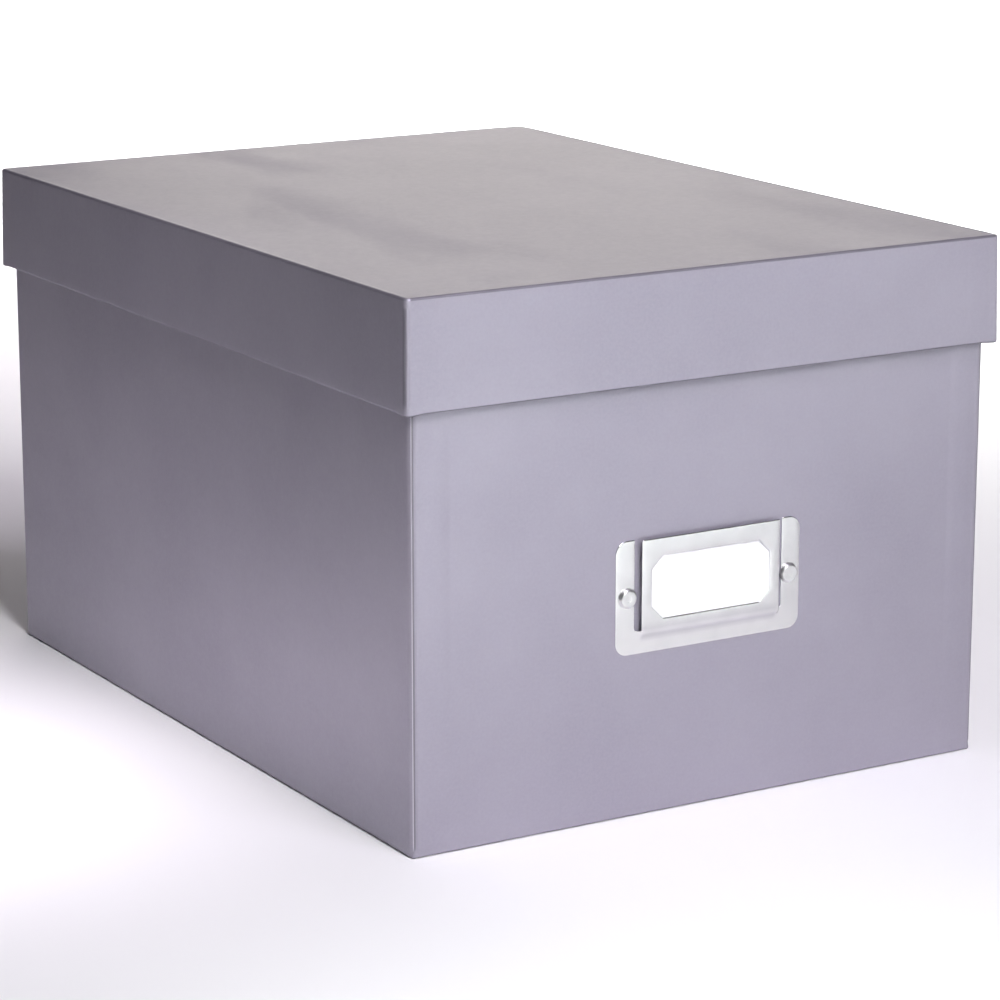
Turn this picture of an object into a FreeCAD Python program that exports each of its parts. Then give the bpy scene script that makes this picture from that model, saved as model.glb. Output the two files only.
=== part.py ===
"""Archival document box: a rigid greyboard tray and lift-off lid, both covered in paper, with a
pressed metal card holder riveted to the front.

Millimetres, +Z up. The origin is the middle of the underside. The card holder faces -Y, the long
sides run along Y. Every sheet, board, tape, rivet and washer is a solid of its own. The lid's
skirt flares outwards a little towards its open rim, so that it drops over the tray.
"""

import FreeCAD
import Part
import os

Vec = FreeCAD.Vector

# Driving dimensions
TRAY_W = 235.0  # outside, along X
TRAY_D = 320.0  # outside, along Y
BOX_H = 191.0  # floor to the top of the closed lid
LID_H = 38.5  # the lid's skirt, outside
LID_OVERHANG = 3.7  # lid rim past the tray, each side
LID_FLARE = 0.7  # the lid's rim past its top edge, each side
EDGE_R = 1.6  # outside radius of the covered edges
TRAY_CORNER_R = 3.0  # outside radius of the tray's upright corners

BOARD_T = 2.0  # greyboard
WRAP_T = 0.25  # covering paper
TAPE_T = 0.15  # corner stay tape, which fills the glue gap behind the wrap
LINING_T = 0.2  # lining paper
TURN_IN = 18.0  # wrap turned in over the tray's rim
TURN_UNDER = 15.0  # wrap turned under the tray
LINING_DROP = 5.0  # tray lining stops this far below the rim
UNDERSIDE_INSET = 3.0  # underside sheet's edge from the tray's side
STAY_LEG = 20.0  # corner stay's reach from the corner
SHEET_CLEARANCE = 0.3  # lining's edge to the wall

# Card holder, pressed from one sheet: a flat flange on three sides, and a raised panel that rises
# from it at the foot. Slits, open at the top, part the panel from the flange's two side strips.
HOLDER_W = 76.2
HOLDER_Z0 = 58.5
HOLDER_Z1 = 98.9
HOLDER_T = 0.5
HOLDER_CORNER_R = 4.6
PANEL_RAISE = 1.7
PANEL_W = 57.6  # flat of the raised panel
PANEL_Z0 = 67.0  # its lower edge
PANEL_CORNER_R = 2.6
SLOPE_SIDE = 1.4  # the pressed slope, from the panel's flat out to the flange
SLOPE_FOOT = 3.4  # the same, below the panel
SLOPE_INSET = 0.2  # pocket's outline inside the panel's, so the slopes are as thick as the sheet
SLIT_Z0 = 66.8  # lower end of the slits
WINDOW_W = 49.0
WINDOW_Z0 = 70.4
WINDOW_Z1 = 92.6
WINDOW_CHAMFER = 4.6

CARD_W = 54.0
CARD_T = 0.6
CARD_GAP = 0.3  # card's face to the back of the panel
CARD_Z0 = 67.3
CARD_Z1 = 97.6

RIVET_X = 33.4
RIVET_Z = 78.7
RIVET_HEAD_R = 3.6
RIVET_FACE_R = 2.95
RIVET_HEAD_H = 1.25
RIVET_RIM_H = 0.45
RIVET_DIMPLE_R = 1.1
RIVET_DIMPLE_H = 0.15
RIVET_SHANK_R = 1.5
RIVET_BORE_R = 0.9
RIVET_BORE_DEPTH = 2.6
RIVET_ROLL_R = 2.6
RIVET_ROLL_H = 0.7
RIVET_ROLL_EASE = 0.2  # the rolled end's edge, taken off along the radius
RIVET_HOLE_R = 1.6
WASHER_R = 4.5
WASHER_T = 0.6

# Worked out from the driving dimensions
HALF_W = TRAY_W / 2
HALF_D = TRAY_D / 2
GLUE = WRAP_T + TAPE_T  # outside of the wrap to the outside of the board
WALL = GLUE + BOARD_T  # to the board's inner face
WALL_TURNED = WALL + WRAP_T  # to the turned-in wrap's inner face
WALL_LINED = WALL_TURNED + LINING_T  # to the lining's inner face
FLOOR_Z = 2 * WRAP_T  # bottom board's underside, above the underside sheet and the turn-under
FLOOR_TOP = FLOOR_Z + BOARD_T
LID_TOP_BOARD_Z = BOX_H - WRAP_T - BOARD_T
RIM_Z = LID_TOP_BOARD_Z - LINING_T  # the tray's rim, where the closed lid rests
SKIRT_Z = BOX_H - LID_H  # the lid's lower rim
LID_HALF_W = HALF_W + LID_OVERHANG
LID_HALF_D = HALF_D + LID_OVERHANG
FACE_Y = -HALF_D  # the tray's front face
PAST = 10.0  # how far a cutting block runs past what it cuts
UPRIGHT_MIN = 0.1  # an edge that rises more than this is an upright one
SAME_PLACE = 1e-6


def box(x0, x1, y0, y1, z0, z1):
    return Part.makeBox(x1 - x0, y1 - y0, z1 - z0, Vec(x0, y0, z0))


def flat_sided(low, high):
    """A solid between two anticlockwise outlines with as many points each, all its faces flat."""
    pairs = list(zip(low, high))
    outlines = [low[::-1], high]
    for (a, b), (c, d) in zip(pairs, pairs[1:] + pairs[:1]):
        outlines.append([a, c, d, b])
    faces = [Part.Face(Part.makePolygon(points + points[:1])) for points in outlines]
    return Part.makeSolid(Part.makeShell(faces))


def rectangle(half_w, half_d, z):
    return [
        Vec(-half_w, -half_d, z),
        Vec(half_w, -half_d, z),
        Vec(half_w, half_d, z),
        Vec(-half_w, half_d, z),
    ]


def rounded(solid, radius, wanted):
    """solid with a radius on each edge that wanted(edge) is true for."""
    return solid.makeFillet(radius, [edge for edge in solid.Edges if wanted(edge)])


def upright(edge):
    return edge.BoundBox.ZLength > UPRIGHT_MIN


def level_at(z):
    def wanted(edge):
        extent = edge.BoundBox
        return extent.ZLength < SAME_PLACE and abs(extent.ZMin - z) < SAME_PLACE

    return wanted


def tray_block(inset, z0, z1, round_foot=False):
    """The tray's outline, inset from its outside, with its corners rounded to match."""
    solid = box(inset - HALF_W, HALF_W - inset, inset - HALF_D, HALF_D - inset, z0, z1)
    if inset < TRAY_CORNER_R:
        solid = rounded(solid, TRAY_CORNER_R - inset, upright)
    if round_foot:
        solid = rounded(solid, EDGE_R - inset, level_at(z0))
    return solid


def tray_ring(outer, inner, z0, z1):
    return tray_block(outer, z0, z1).cut(tray_block(inner, z0 - PAST, z1 + PAST))


def lid_outline(inset, z, extra_d=0.0):
    """The flared lid's rectangle at height z, inset from its outside."""
    narrower = inset + LID_FLARE * (z - SKIRT_Z) / LID_H
    return rectangle(LID_HALF_W - narrower, LID_HALF_D - narrower + extra_d, z)


def lid_block(inset, z0, z1, round_top=False):
    """The lid's flared outline as a solid, with its edges rounded to match its outside."""
    solid = flat_sided(lid_outline(inset, z0), lid_outline(inset, z1))
    radius = EDGE_R - inset
    if radius <= 0:
        return solid
    top = level_at(z1)
    return rounded(solid, radius, lambda edge: upright(edge) or (round_top and top(edge)))


def lid_ring(outer, inner, z0, z1):
    return lid_block(outer, z0, z1).cut(lid_block(inner, z0 - PAST, z1 + PAST))


def four_walls(ring, between_sides):
    """A ring cut into left, right, front and back boards. The front and back stand between the sides."""
    sides = ring.cut(between_sides)
    ends = ring.common(between_sides)
    far = TRAY_D
    low, high = -PAST, BOX_H + PAST
    return {
        "left": sides.common(box(-far, 0, -far, far, low, high)),
        "right": sides.common(box(0, far, -far, far, low, high)),
        "front": ends.common(box(-far, far, -far, 0, low, high)),
        "back": ends.common(box(-far, far, 0, far, low, high)),
    }


def corner_stays(ring, half_w, half_d):
    """The four corners of a thin ring, each an angle of tape."""
    stays = {}
    for depth_name, sign_y in (("front", -1), ("back", 1)):
        for side_name, sign_x in (("left", -1), ("right", 1)):
            xs = sorted((sign_x * (half_w - STAY_LEG), sign_x * (half_w + PAST)))
            ys = sorted((sign_y * (half_d - STAY_LEG), sign_y * (half_d + PAST)))
            corner = box(*xs, *ys, 0, BOX_H)
            stays[f"{depth_name}_{side_name}"] = ring.common(corner)
    return stays


def rivet_holes():
    """Two pins as long as the front wall is thick, for cutting the rivet holes."""
    length = WALL_LINED + HOLDER_T + 2 * PAST
    start = FACE_Y - HOLDER_T - PAST
    pins = [
        Part.makeCylinder(RIVET_HOLE_R, length, Vec(x, start, RIVET_Z), Vec(0, 1, 0))
        for x in (-RIVET_X, RIVET_X)
    ]
    return pins[0].fuse(pins[1])


def tray_parts():
    holes = rivet_holes()
    parts = {}

    bottom = tray_block(GLUE, FLOOR_Z, FLOOR_TOP, round_foot=True)
    parts["tray_bottom_board"] = bottom
    ring = tray_ring(GLUE, WALL, FLOOR_TOP, RIM_Z - WRAP_T)
    inner_w = HALF_W - WALL
    walls = four_walls(ring, box(-inner_w, inner_w, -TRAY_D, TRAY_D, 0, BOX_H))
    for name, wall in walls.items():
        parts[f"tray_{name}_board"] = wall.cut(holes) if name == "front" else wall

    tape = tray_ring(WRAP_T, GLUE, FLOOR_TOP, RIM_Z - WRAP_T)
    for name, stay in corner_stays(tape, HALF_W, HALF_D).items():
        parts[f"tray_corner_stay_{name}"] = stay

    outside = tray_block(0, WRAP_T, RIM_Z, round_foot=True)
    inside = tray_block(WRAP_T, FLOOR_Z, RIM_Z - WRAP_T, round_foot=True)
    underside_gap = tray_block(TURN_UNDER, WRAP_T - PAST, FLOOR_Z + PAST)
    mouth = tray_block(WALL_TURNED, FLOOR_Z, RIM_Z + PAST)
    turned_in = tray_ring(WALL, WALL_TURNED, RIM_Z - TURN_IN, RIM_Z - WRAP_T)
    shell = outside.cut(inside).cut(underside_gap).cut(mouth)
    parts["tray_wrap"] = shell.fuse(turned_in).removeSplitter().cut(holes)

    parts["tray_underside_sheet"] = tray_block(UNDERSIDE_INSET, 0, WRAP_T)

    edge = WALL + SHEET_CLEARANCE
    floor_lining_top = FLOOR_TOP + LINING_T
    parts["tray_floor_lining"] = tray_block(edge, FLOOR_TOP, floor_lining_top)
    lining = tray_ring(WALL_TURNED, WALL_LINED, floor_lining_top, RIM_Z - LINING_DROP)
    parts["tray_wall_lining"] = lining.cut(holes)
    return parts


def lid_parts():
    parts = {}
    parts["lid_top_board"] = lid_block(GLUE, LID_TOP_BOARD_Z, BOX_H - WRAP_T, round_top=True)
    ring = lid_ring(GLUE, WALL, SKIRT_Z + WRAP_T, LID_TOP_BOARD_Z)
    between = flat_sided(lid_outline(WALL, SKIRT_Z, PAST), lid_outline(WALL, BOX_H, PAST))
    for name, skirt in four_walls(ring, between).items():
        parts[f"lid_{name}_board"] = skirt

    tape = lid_ring(WRAP_T, GLUE, SKIRT_Z + WRAP_T, LID_TOP_BOARD_Z)
    for name, stay in corner_stays(tape, LID_HALF_W, LID_HALF_D).items():
        parts[f"lid_corner_stay_{name}"] = stay

    outside = lid_block(0, SKIRT_Z, BOX_H, round_top=True)
    inside = lid_block(WRAP_T, SKIRT_Z + WRAP_T, BOX_H - WRAP_T, round_top=True)
    mouth = lid_block(WALL_TURNED, SKIRT_Z - PAST, LID_TOP_BOARD_Z)
    turned_in = lid_ring(WALL, WALL_TURNED, SKIRT_Z + WRAP_T, LID_TOP_BOARD_Z)
    parts["lid_wrap"] = outside.cut(inside).cut(mouth).fuse(turned_in).removeSplitter()

    edge = WALL_TURNED + LID_FLARE + SHEET_CLEARANCE
    half_w, half_d = LID_HALF_W - edge, LID_HALF_D - edge
    parts["lid_lining"] = box(-half_w, half_w, -half_d, half_d, RIM_Z, LID_TOP_BOARD_Z)
    return parts


def holder_outline(half_w, z0, z1, radius, y, round_top):
    """A closed wire in the plane y: a rectangle with its lower corners, or all four, rounded."""
    bend = radius * (1 - 0.5**0.5)  # corner point to the middle of its arc, along X and Z
    low = [
        Part.LineSegment(Vec(-half_w + radius, y, z0), Vec(half_w - radius, y, z0)),
        Part.Arc(
            Vec(half_w - radius, y, z0),
            Vec(half_w - bend, y, z0 + bend),
            Vec(half_w, y, z0 + radius),
        ),
    ]
    drop = radius if round_top else 0.0
    right = [Part.LineSegment(Vec(half_w, y, z0 + radius), Vec(half_w, y, z1 - drop))]
    if round_top:
        right.append(
            Part.Arc(
                Vec(half_w, y, z1 - radius),
                Vec(half_w - bend, y, z1 - bend),
                Vec(half_w - radius, y, z1),
            )
        )
    top = [Part.LineSegment(Vec(half_w - drop, y, z1), Vec(drop - half_w, y, z1))]
    left = []
    if round_top:
        left.append(
            Part.Arc(
                Vec(radius - half_w, y, z1),
                Vec(bend - half_w, y, z1 - bend),
                Vec(-half_w, y, z1 - radius),
            )
        )
    left += [
        Part.LineSegment(Vec(-half_w, y, z1 - drop), Vec(-half_w, y, z0 + radius)),
        Part.Arc(
            Vec(-half_w, y, z0 + radius),
            Vec(bend - half_w, y, z0 + bend),
            Vec(-half_w + radius, y, z0),
        ),
    ]
    return Part.Wire([piece.toShape() for piece in low + right + top + left])


def pressed_bump(y_foot, y_flat, inset):
    """The raised panel as a solid, from its foot outline to its flat. It runs past the holder's top."""
    foot = holder_outline(
        PANEL_W / 2 + SLOPE_SIDE - inset,
        PANEL_Z0 - SLOPE_FOOT + inset,
        HOLDER_Z1 + PAST,
        PANEL_CORNER_R + SLOPE_SIDE,
        y_foot,
        round_top=False,
    )
    flat = holder_outline(
        PANEL_W / 2 - inset,
        PANEL_Z0 + inset,
        HOLDER_Z1 + PAST,
        PANEL_CORNER_R,
        y_flat,
        round_top=False,
    )
    return Part.makeLoft([foot, flat], True, True)


def slit_cutters():
    inner = PANEL_W / 2 - SLOPE_INSET
    outer = PANEL_W / 2 + SLOPE_SIDE
    return [
        box(*sorted((sign * inner, sign * outer)), FACE_Y - PAST, FACE_Y + PAST, SLIT_Z0, TRAY_W)
        for sign in (-1, 1)
    ]


def window_cutter(y0, y1):
    half_w, cut = WINDOW_W / 2, WINDOW_CHAMFER
    z0, z1 = WINDOW_Z0, WINDOW_Z1
    outline = [
        (-half_w + cut, z0),
        (half_w - cut, z0),
        (half_w, z0 + cut),
        (half_w, z1 - cut),
        (half_w - cut, z1),
        (-half_w + cut, z1),
        (-half_w, z1 - cut),
        (-half_w, z0 + cut),
    ]
    points = [Vec(x, y0, z) for x, z in outline]
    face = Part.Face(Part.makePolygon(points + points[:1]))
    return face.extrude(Vec(0, y1 - y0, 0))


def label_holder():
    front = FACE_Y - HOLDER_T
    outline = holder_outline(
        HOLDER_W / 2, HOLDER_Z0, HOLDER_Z1, HOLDER_CORNER_R, FACE_Y, round_top=True
    )
    flange = Part.Face(outline).extrude(Vec(0, -HOLDER_T, 0))
    above = box(-HOLDER_W, HOLDER_W, FACE_Y - PAST, FACE_Y + PAST, HOLDER_Z1, HOLDER_Z1 + 2 * PAST)
    bump = pressed_bump(front, front - PANEL_RAISE, 0.0).cut(above)
    pocket = pressed_bump(FACE_Y, FACE_Y - PANEL_RAISE, SLOPE_INSET)
    window = window_cutter(FACE_Y + PAST, FACE_Y - PAST)
    plate = flange.fuse(bump).removeSplitter()
    for cutter in (pocket, window, rivet_holes(), *slit_cutters()):
        plate = plate.cut(cutter)
    return plate


def turned(profile):
    """A solid of revolution from (radius, distance out of the front face) points, about the rivet's axis."""
    points = [Vec(radius, 0, out) for radius, out in profile]
    face = Part.Face(Part.makePolygon(points + points[:1]))
    solid = face.revolve(Vec(0, 0, 0), Vec(0, 0, 1), 360)
    solid.rotate(Vec(0, 0, 0), Vec(1, 0, 0), 90)  # distance out now runs along -Y
    return solid


def rivet(x):
    head = HOLDER_T
    face = head + RIVET_HEAD_H
    tail = -WALL_LINED - WASHER_T
    end = tail - RIVET_ROLL_H
    body = turned(
        [
            (0, end + RIVET_BORE_DEPTH),
            (RIVET_BORE_R, end + RIVET_BORE_DEPTH),
            (RIVET_BORE_R, end),
            (RIVET_ROLL_R - RIVET_ROLL_EASE, end),
            (RIVET_ROLL_R, end + RIVET_ROLL_H / 2),
            (RIVET_ROLL_R, tail),
            (RIVET_SHANK_R, tail),
            (RIVET_SHANK_R, head),
            (RIVET_HEAD_R, head),
            (RIVET_HEAD_R, head + RIVET_RIM_H),
            (RIVET_FACE_R, face),
            (RIVET_DIMPLE_R, face),
            (0, face - RIVET_DIMPLE_H),
        ]
    )
    body.translate(Vec(x, FACE_Y, RIVET_Z))
    return body


def washer(x):
    start = FACE_Y + WALL_LINED
    outer = Part.makeCylinder(WASHER_R, WASHER_T, Vec(x, start, RIVET_Z), Vec(0, 1, 0))
    hole = Part.makeCylinder(
        RIVET_HOLE_R, WASHER_T + 2 * PAST, Vec(x, start - PAST, RIVET_Z), Vec(0, 1, 0)
    )
    return outer.cut(hole)


def label_card():
    face = FACE_Y - PANEL_RAISE + CARD_GAP
    return box(-CARD_W / 2, CARD_W / 2, face, face + CARD_T, CARD_Z0, CARD_Z1)


def front_fittings():
    parts = {"label_holder": label_holder(), "label_card": label_card()}
    for name, x in (("left", -RIVET_X), ("right", RIVET_X)):
        parts[f"rivet_{name}"] = rivet(x)
        parts[f"rivet_washer_{name}"] = washer(x)
    return parts


def main():
    os.makedirs("parts", exist_ok=True)
    for group in (tray_parts(), lid_parts(), front_fittings()):
        for name, solid in group.items():
            if not solid.isValid() or len(solid.Solids) != 1:
                raise ValueError(f"{name}: valid {solid.isValid()}, {len(solid.Solids)} solids")
            solid.Solids[0].exportStep(f"parts/{name}.step")
            size = solid.BoundBox
            print(f"{name}: {size.XLength:.1f} x {size.YLength:.1f} x {size.ZLength:.1f} mm")


main()
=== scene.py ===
import math
from collections import namedtuple

import bmesh
import bpy
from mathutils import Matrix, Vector, geometry, noise


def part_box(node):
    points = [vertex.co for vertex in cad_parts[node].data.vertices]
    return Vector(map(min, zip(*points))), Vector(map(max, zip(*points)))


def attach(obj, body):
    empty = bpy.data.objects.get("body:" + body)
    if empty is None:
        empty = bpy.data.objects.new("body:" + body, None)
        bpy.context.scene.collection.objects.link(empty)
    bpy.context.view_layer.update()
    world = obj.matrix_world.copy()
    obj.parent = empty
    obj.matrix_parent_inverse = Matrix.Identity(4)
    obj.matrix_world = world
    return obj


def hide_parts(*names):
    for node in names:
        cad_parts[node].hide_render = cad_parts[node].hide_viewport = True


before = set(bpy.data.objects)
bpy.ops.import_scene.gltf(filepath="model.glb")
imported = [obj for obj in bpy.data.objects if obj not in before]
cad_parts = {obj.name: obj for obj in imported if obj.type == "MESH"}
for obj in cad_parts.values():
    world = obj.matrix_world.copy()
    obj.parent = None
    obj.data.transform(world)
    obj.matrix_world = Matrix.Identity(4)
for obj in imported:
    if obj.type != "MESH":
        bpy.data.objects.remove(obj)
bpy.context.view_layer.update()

# All sizes below are in millimetres, and MM turns them into Blender's metres.
MM = 0.001
SAME_PLACE = 0.002  # points closer than this are one point
SLIVER = 0.0005  # triangles lower than this are left out

# Camera: where it looks, from which side, and how far off
AIM = (6.6, -9.5, 76.2)
AZIMUTH = -30.92
ELEVATION = 13.87
DISTANCE = 1357.8
LENS = 128.3
SENSOR = 36.0
CLIP = (0.05, 100.0)  # metres

# Studio
FLOOR_REACH = 6000.0
WHITE = (1, 1, 1)

# Covering paper. Side papers turn the corner, and the end papers are glued over them.
PAPER_T = 0.25
TAPE_T = 0.15
TURN_IN = 18.0  # how far the papers reach inside, over the rims
TURN_UNDER = 15.0  # how far the tray's paper reaches under the base
FOLD_R = 0.9  # folds along the tray's foot, and the hidden face of the lid's
LID_FOLD_R = 0.95  # folds along the lid's top
TOP_FOLD_SHADE = 0.65  # how dark the painted shade is on the folds along the lid's top
RIM_R = 0.8  # folds over the rims
RIM_INSIDE = 1.2  # where the paper's hidden face leaves the fold over a rim
LID_WALL = 2.65  # outside of the lid's paper to the face of its turned-in paper
TRAY_CORNER_R = 3.0
LID_CORNER_R = 1.9
TRAY_SEAM = math.radians(48)  # where the end papers' cut edge lies on a corner, from the end's side
LID_SEAM = math.radians(38)
TRAY_STEP = 0.17  # how far the end papers stand out at their cut edge
LID_STEP = 0.10
CUT_W = 0.3  # the cut edge, as seen
FLAP_REACH = 13.0  # where the side papers end, under the end papers
WAVE_LENGTH = 75.0  # the boards' slow unevenness
WAVE_HEIGHT = 0.13
NEAR_FOLD = 7.0  # how far from a fold the mesh has fine rows
FINE_ROW = 0.7
TRAY_ROW = 3.5
LID_ROW = 1.8

# Pressed card holder. Its middle panel stands out, between two slits and two flat strips.
SHEET_T = 0.5
SHEET_BEVEL = 0.14
PANEL_HALF_W = 28.45
STRIP_INNER = 30.45
PANEL_RAISE = 1.7
PANEL_Z0 = 67.0
FOOT_SLOPE = 3.6  # height of the curve below the panel
SIDE_SLOPE = 1.7  # width of the curve at each end of it
SLIT_Z0 = 66.8
SLIT_LIP_R = 0.5
HOLDER_CORNER_R = 4.6
WINDOW_HALF_W = 24.5
WINDOW_Z0 = 70.4
WINDOW_Z1 = 92.6
WINDOW_CHAMFER = 4.6
WINDOW_CORNER_R = 0.5
OUTLINE_STEP = 0.8  # longest edge of the holder's outline
FILL_STEP = 1.1  # mesh inside the outline
FILL_CLEAR = 0.45
FINE_BAND = (27.0, 31.0)  # either side of a slit, where that mesh is finer

# Rivets and washers
RIVET_X = 33.4
RIVET_Z = 78.7
RIVET_HOLE_R = 1.6
SHANK_R = 1.5
TAIL_BORE_R = 0.9
TURNED_STEPS = 64

# Papers inside
LINING_T = 0.2
LINING_CORNER_R = 0.6
LINING_JOINT_X = 38.0  # where the wall lining's ends lap, on the back
LINING_LAP = 30.0


# ---------------------------------------------------------------- small helpers


def smooth(low, high, value):
    """0 below low, 1 above high, and an S-curve between them."""
    t = min(1.0, max(0.0, (value - low) / (high - low)))
    return t * t * (3 - 2 * t)


def hump(centre, width, value):
    """1 at centre, falling to almost 0 two widths away."""
    return math.exp(-(((value - centre) / width) ** 2))


def cad_box(node):
    """A node's lowest and highest corner, in millimetres."""
    low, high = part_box(node)
    return Vector(low) / MM, Vector(high) / MM


def wave(x, y, z, length=WAVE_LENGTH, height=WAVE_HEIGHT):
    return noise.noise(Vector((x, y, z)) / length) * height


def make_piece(name, points, faces, material, body, stands_for, sharp=35.0, marks=None):
    """A mesh piece from points in millimetres, riding on body in place of the CAD nodes stands_for.

    marks are what the material reads, each a name and one number from 0 to 1 for every point.
    """
    mesh = bpy.data.meshes.new(name)
    mesh.from_pydata([Vector(p) * MM for p in points], [], faces)
    for mark, values in (marks or {}).items():
        mesh.attributes.new(mark, "FLOAT", "POINT").data.foreach_set("value", values)
    work = bmesh.new()
    work.from_mesh(mesh)
    bmesh.ops.remove_doubles(work, verts=work.verts, dist=SAME_PLACE * MM)
    bmesh.ops.dissolve_degenerate(work, edges=work.edges, dist=SAME_PLACE * MM)
    bmesh.ops.recalc_face_normals(work, faces=work.faces)
    work.to_mesh(mesh)
    work.free()
    mesh.materials.append(material)
    mesh.shade_smooth()
    mesh.set_sharp_from_angle(angle=math.radians(sharp))
    piece = bpy.data.objects.new(name, mesh)
    bpy.context.scene.collection.objects.link(piece)
    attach(piece, body)
    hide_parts(*stands_for)
    return piece


# ---------------------------------------------------------------- materials


class Shader:
    """A node material, with short calls for the nodes that the materials below share."""

    def __init__(self, name):
        self.material = bpy.data.materials.new(name)
        self.material.use_nodes = True
        self.tree = self.material.node_tree
        self.surface = self.tree.nodes["Principled BSDF"]
        self.place = self.tree.nodes.new("ShaderNodeTexCoord").outputs["Object"]

    def set(self, **values):
        for name, value in values.items():
            self.surface.inputs[name.replace("_", " ").title()].default_value = value

    def link(self, output, name):
        self.tree.links.new(output, self.surface.inputs[name])

    def stretched(self, scale):
        node = self.tree.nodes.new("ShaderNodeMapping")
        node.inputs["Scale"].default_value = scale
        self.tree.links.new(self.place, node.inputs["Vector"])
        return node.outputs["Vector"]

    def noise(self, scale, detail=3.0, roughness=0.55, place=None):
        node = self.tree.nodes.new("ShaderNodeTexNoise")
        node.inputs["Scale"].default_value = scale
        node.inputs["Detail"].default_value = detail
        node.inputs["Roughness"].default_value = roughness
        self.tree.links.new(place or self.place, node.inputs["Vector"])
        return node.outputs["Fac"]

    def ranged(self, value, low, high, to_low, to_high):
        node = self.tree.nodes.new("ShaderNodeMapRange")
        for name, number in zip(("From Min", "From Max", "To Min", "To Max"), (low, high, to_low, to_high)):
            node.inputs[name].default_value = number
        self.tree.links.new(value, node.inputs["Value"])
        return node.outputs["Result"]

    def mixed(self, share, a, b):
        """A colour from a to b. Each is a colour or another node's output, and so is share's number."""
        node = self.tree.nodes.new("ShaderNodeMix")
        node.data_type = "RGBA"
        for socket, value in ((node.inputs[0], share), (node.inputs[6], a), (node.inputs[7], b)):
            if isinstance(value, bpy.types.NodeSocket):
                self.tree.links.new(value, socket)
            else:
                socket.default_value = value
        return node.outputs[2]

    def math(self, operation, a, b):
        node = self.tree.nodes.new("ShaderNodeMath")
        node.operation = operation
        for socket, value in zip(node.inputs, (a, b)):
            if isinstance(value, bpy.types.NodeSocket):
                self.tree.links.new(value, socket)
            else:
                socket.default_value = value
        return node.outputs[0]

    def bump(self, *layers):
        """Bump from (height output, strength, distance in millimetres), one over the other."""
        normal = None
        for height, strength, distance in layers:
            node = self.tree.nodes.new("ShaderNodeBump")
            node.inputs["Strength"].default_value = strength
            node.inputs["Distance"].default_value = distance * MM
            self.tree.links.new(height, node.inputs["Height"])
            if normal:
                self.tree.links.new(normal, node.inputs["Normal"])
            normal = node.outputs["Normal"]
        self.link(normal, "Normal")

    def attribute(self, name):
        node = self.tree.nodes.new("ShaderNodeAttribute")
        node.attribute_name = name
        return node.outputs["Fac"]


def covering_paper():
    """Satin, pearly pewter paper with a fine tooth, slow mottling and faint marks.

    It has a pale core at its cut edges, and painted shade along its folds, beside its cut edges and at the
    lid's rim.
    """
    s = Shader("pewter_paper")
    mottle = s.ranged(s.noise(14, 4), 0.35, 0.65, 0.0, 1.0)
    fibre = s.ranged(s.noise(900, 2), 0.3, 0.7, 0.0, 1.0)
    dark_grey, light_grey = (0.330, 0.312, 0.372, 1), (0.362, 0.344, 0.404, 1)
    pale_core, painted_shade_grey = (0.80, 0.78, 0.86, 1), (0.10, 0.095, 0.11, 1)
    tone = s.mixed(mottle, dark_grey, light_grey)
    tone = s.mixed(s.math("MULTIPLY", fibre, 0.25), tone, (0.41, 0.39, 0.45, 1))
    core = s.attribute("core")
    tone = s.mixed(s.math("MULTIPLY", core, 0.8), tone, pale_core)
    # Painted shade: a near-black grey mixed into the colour on folds, corner bands and rim lines
    painted_shade = s.attribute("painted_shade")
    tone = s.mixed(s.math("MULTIPLY", painted_shade, 0.85), tone, painted_shade_grey)
    smudge = s.ranged(s.noise(22, 5, 0.6, s.stretched((1.0, 0.35, 1.0))), 0.52, 0.7, 0.0, 0.05)
    s.link(tone, "Base Color")
    grain = s.ranged(s.noise(380, 3), 0.3, 0.7, 0.40, 0.46)
    s.link(s.math("ADD", grain, smudge), "Roughness")
    s.link(s.ranged(core, 0.0, 1.0, 0.55, 0.1), "Metallic")
    s.bump((s.noise(45, 2), 0.25, 0.10), (s.noise(1500, 3), 0.35, 0.012))
    return s.material


def lining_paper():
    """Matt acid-free lining paper, off-white with a laid, fibrous surface."""
    s = Shader("plain_lining")
    cloud = s.ranged(s.noise(30, 4), 0.35, 0.65, 0.0, 1.0)
    tone = s.mixed(cloud, (0.80, 0.78, 0.72, 1), (0.86, 0.845, 0.79, 1))
    fibre = s.ranged(s.noise(700, 4, 0.7, s.stretched((1.0, 0.4, 0.4))), 0.55, 0.75, 0.0, 0.35)
    s.link(s.mixed(fibre, tone, (0.66, 0.62, 0.54, 1)), "Base Color")
    s.link(s.ranged(s.noise(500, 2), 0.3, 0.7, 0.78, 0.9), "Roughness")
    s.bump((s.noise(60, 2), 0.3, 0.12), (s.noise(1100, 4), 0.6, 0.02))
    return s.material


def greyboard():
    """Recycled greyboard, flecked, with pressed layers."""
    s = Shader("recycled_board")
    layers = s.noise(500, 3, 0.6, s.stretched((1.0, 1.0, 0.15)))
    tone = s.mixed(s.ranged(layers, 0.3, 0.7, 0.0, 1.0), (0.36, 0.335, 0.30, 1), (0.46, 0.435, 0.40, 1))
    fleck = s.ranged(s.noise(1300, 2), 0.64, 0.7, 0.0, 0.8)
    s.link(s.mixed(fleck, tone, (0.17, 0.15, 0.14, 1)), "Base Color")
    s.link(s.ranged(layers, 0.3, 0.7, 0.82, 0.94), "Roughness")
    s.bump((s.noise(900, 4), 0.5, 0.05))
    return s.material


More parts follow.
